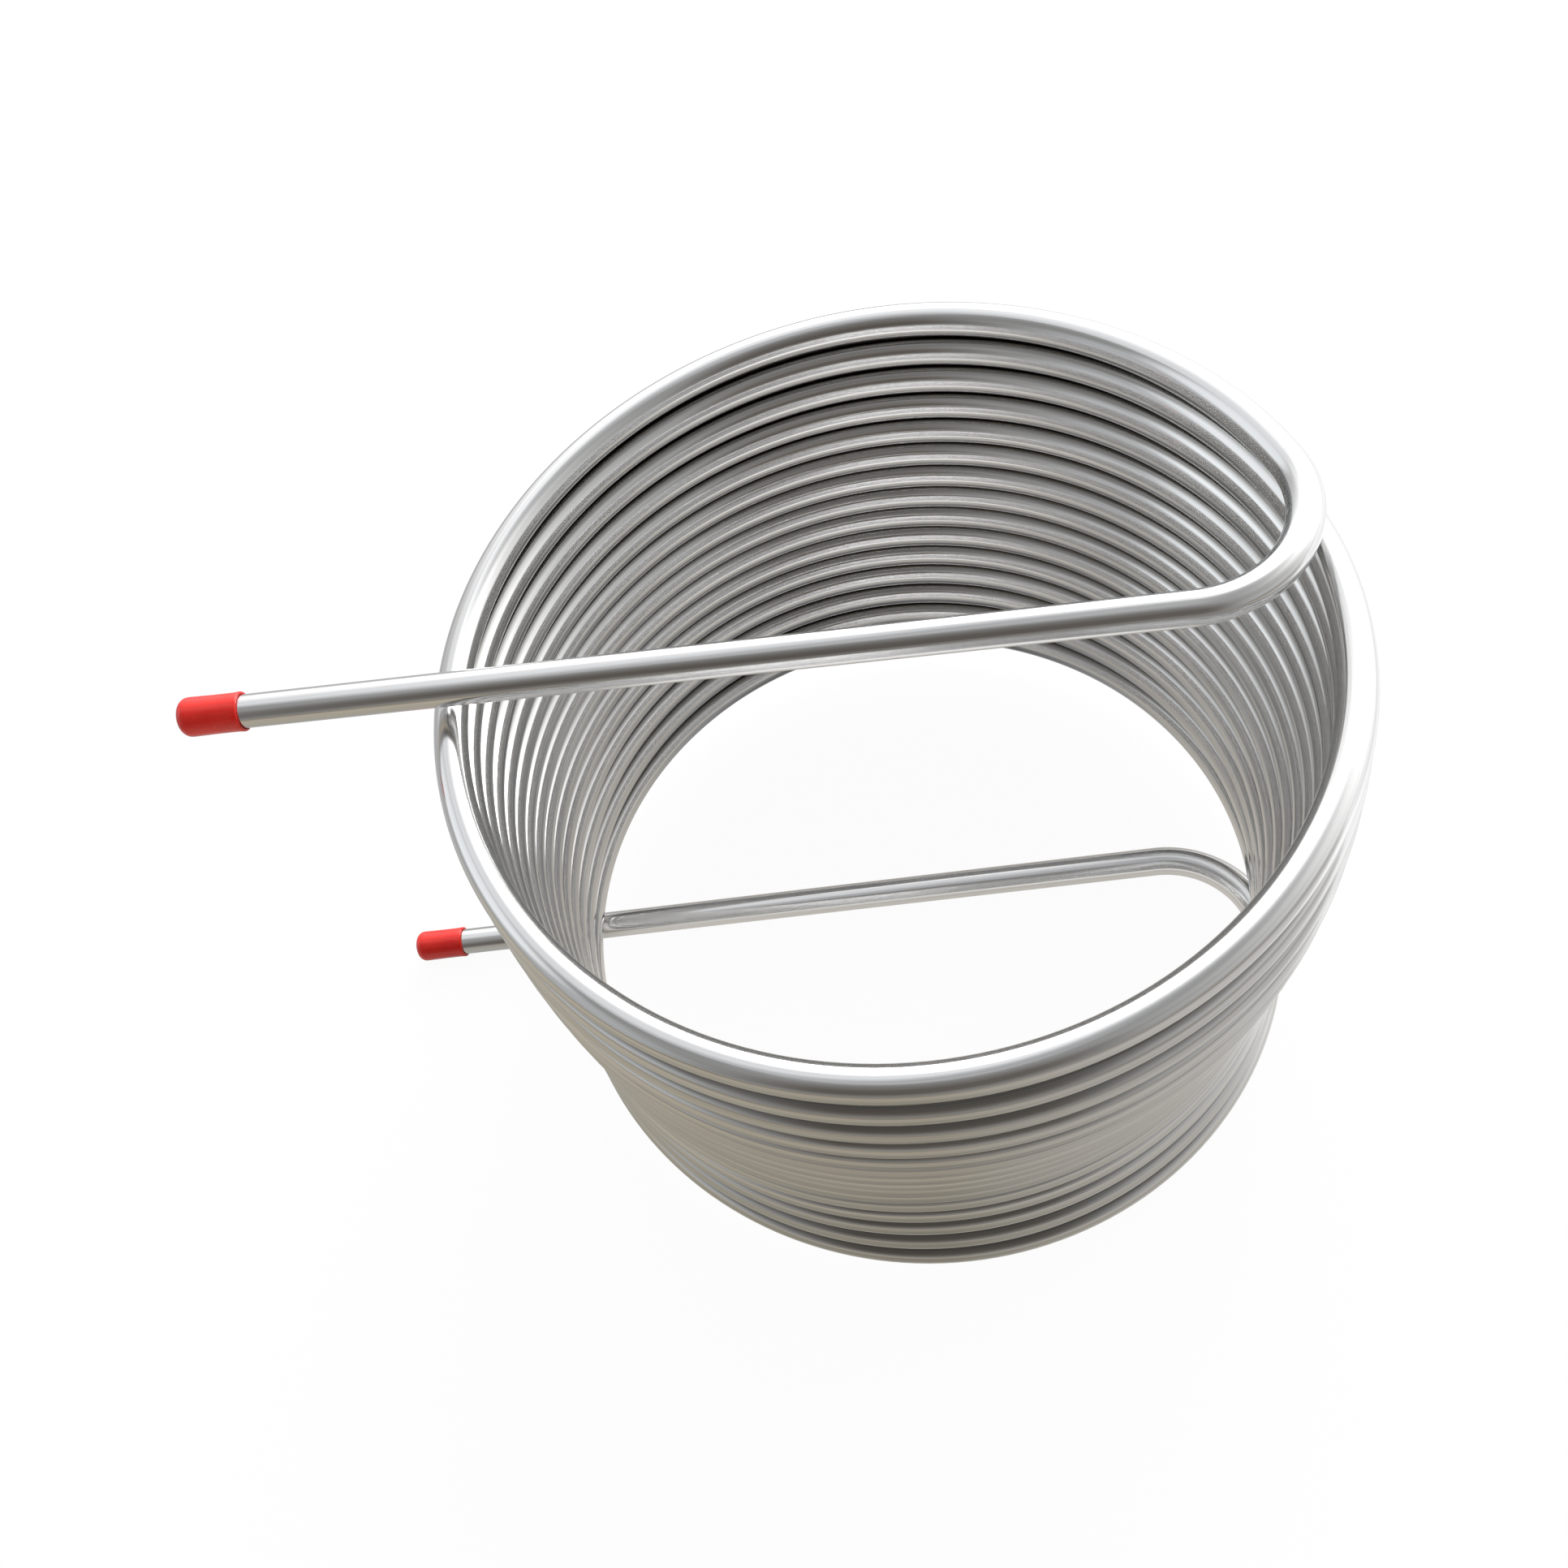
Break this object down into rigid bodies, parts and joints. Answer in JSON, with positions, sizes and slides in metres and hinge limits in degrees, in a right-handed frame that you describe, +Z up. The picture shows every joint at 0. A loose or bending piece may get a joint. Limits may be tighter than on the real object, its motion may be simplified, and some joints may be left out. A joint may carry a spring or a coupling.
{
  "type": "immersion wort chiller",
  "caption": "Long steel tube wound into a single-layer coil; both ends bend in and cross the coil's mouth as straight arms, each closed by a red slip-on cap",
  "frame": {"origin": "on the axis of the coil's lowest turn, in the plane that the chiller stands on", "axes": "+Z up along the coil, +X to the side of the two bends, so that both arms point to -X, and +Y to the back"},
  "size_m": [0.4204, 0.3383, 0.2392],
  "materials": {
    "steel": "satin",
    "vinyl": "gloss"
  },
  "bodies": {
    "tube": {"coil_tube": "steel"},
    "upper_end_cap": {"upper_cap": "vinyl"},
    "lower_end_cap": {"lower_cap": "vinyl"}
  },
  "joints": [
    {"name": "upper_cap_pull", "type": "slide", "parent": "tube", "child": "upper_end_cap", "axis": [-0.9979, 0.0075, 0.0642], "range_m": [0, 0.03]},
    {"name": "lower_cap_pull", "type": "slide", "parent": "tube", "child": "lower_end_cap", "axis": [-1, -0.0047, 0.0067], "range_m": [0, 0.03]}
  ]
}
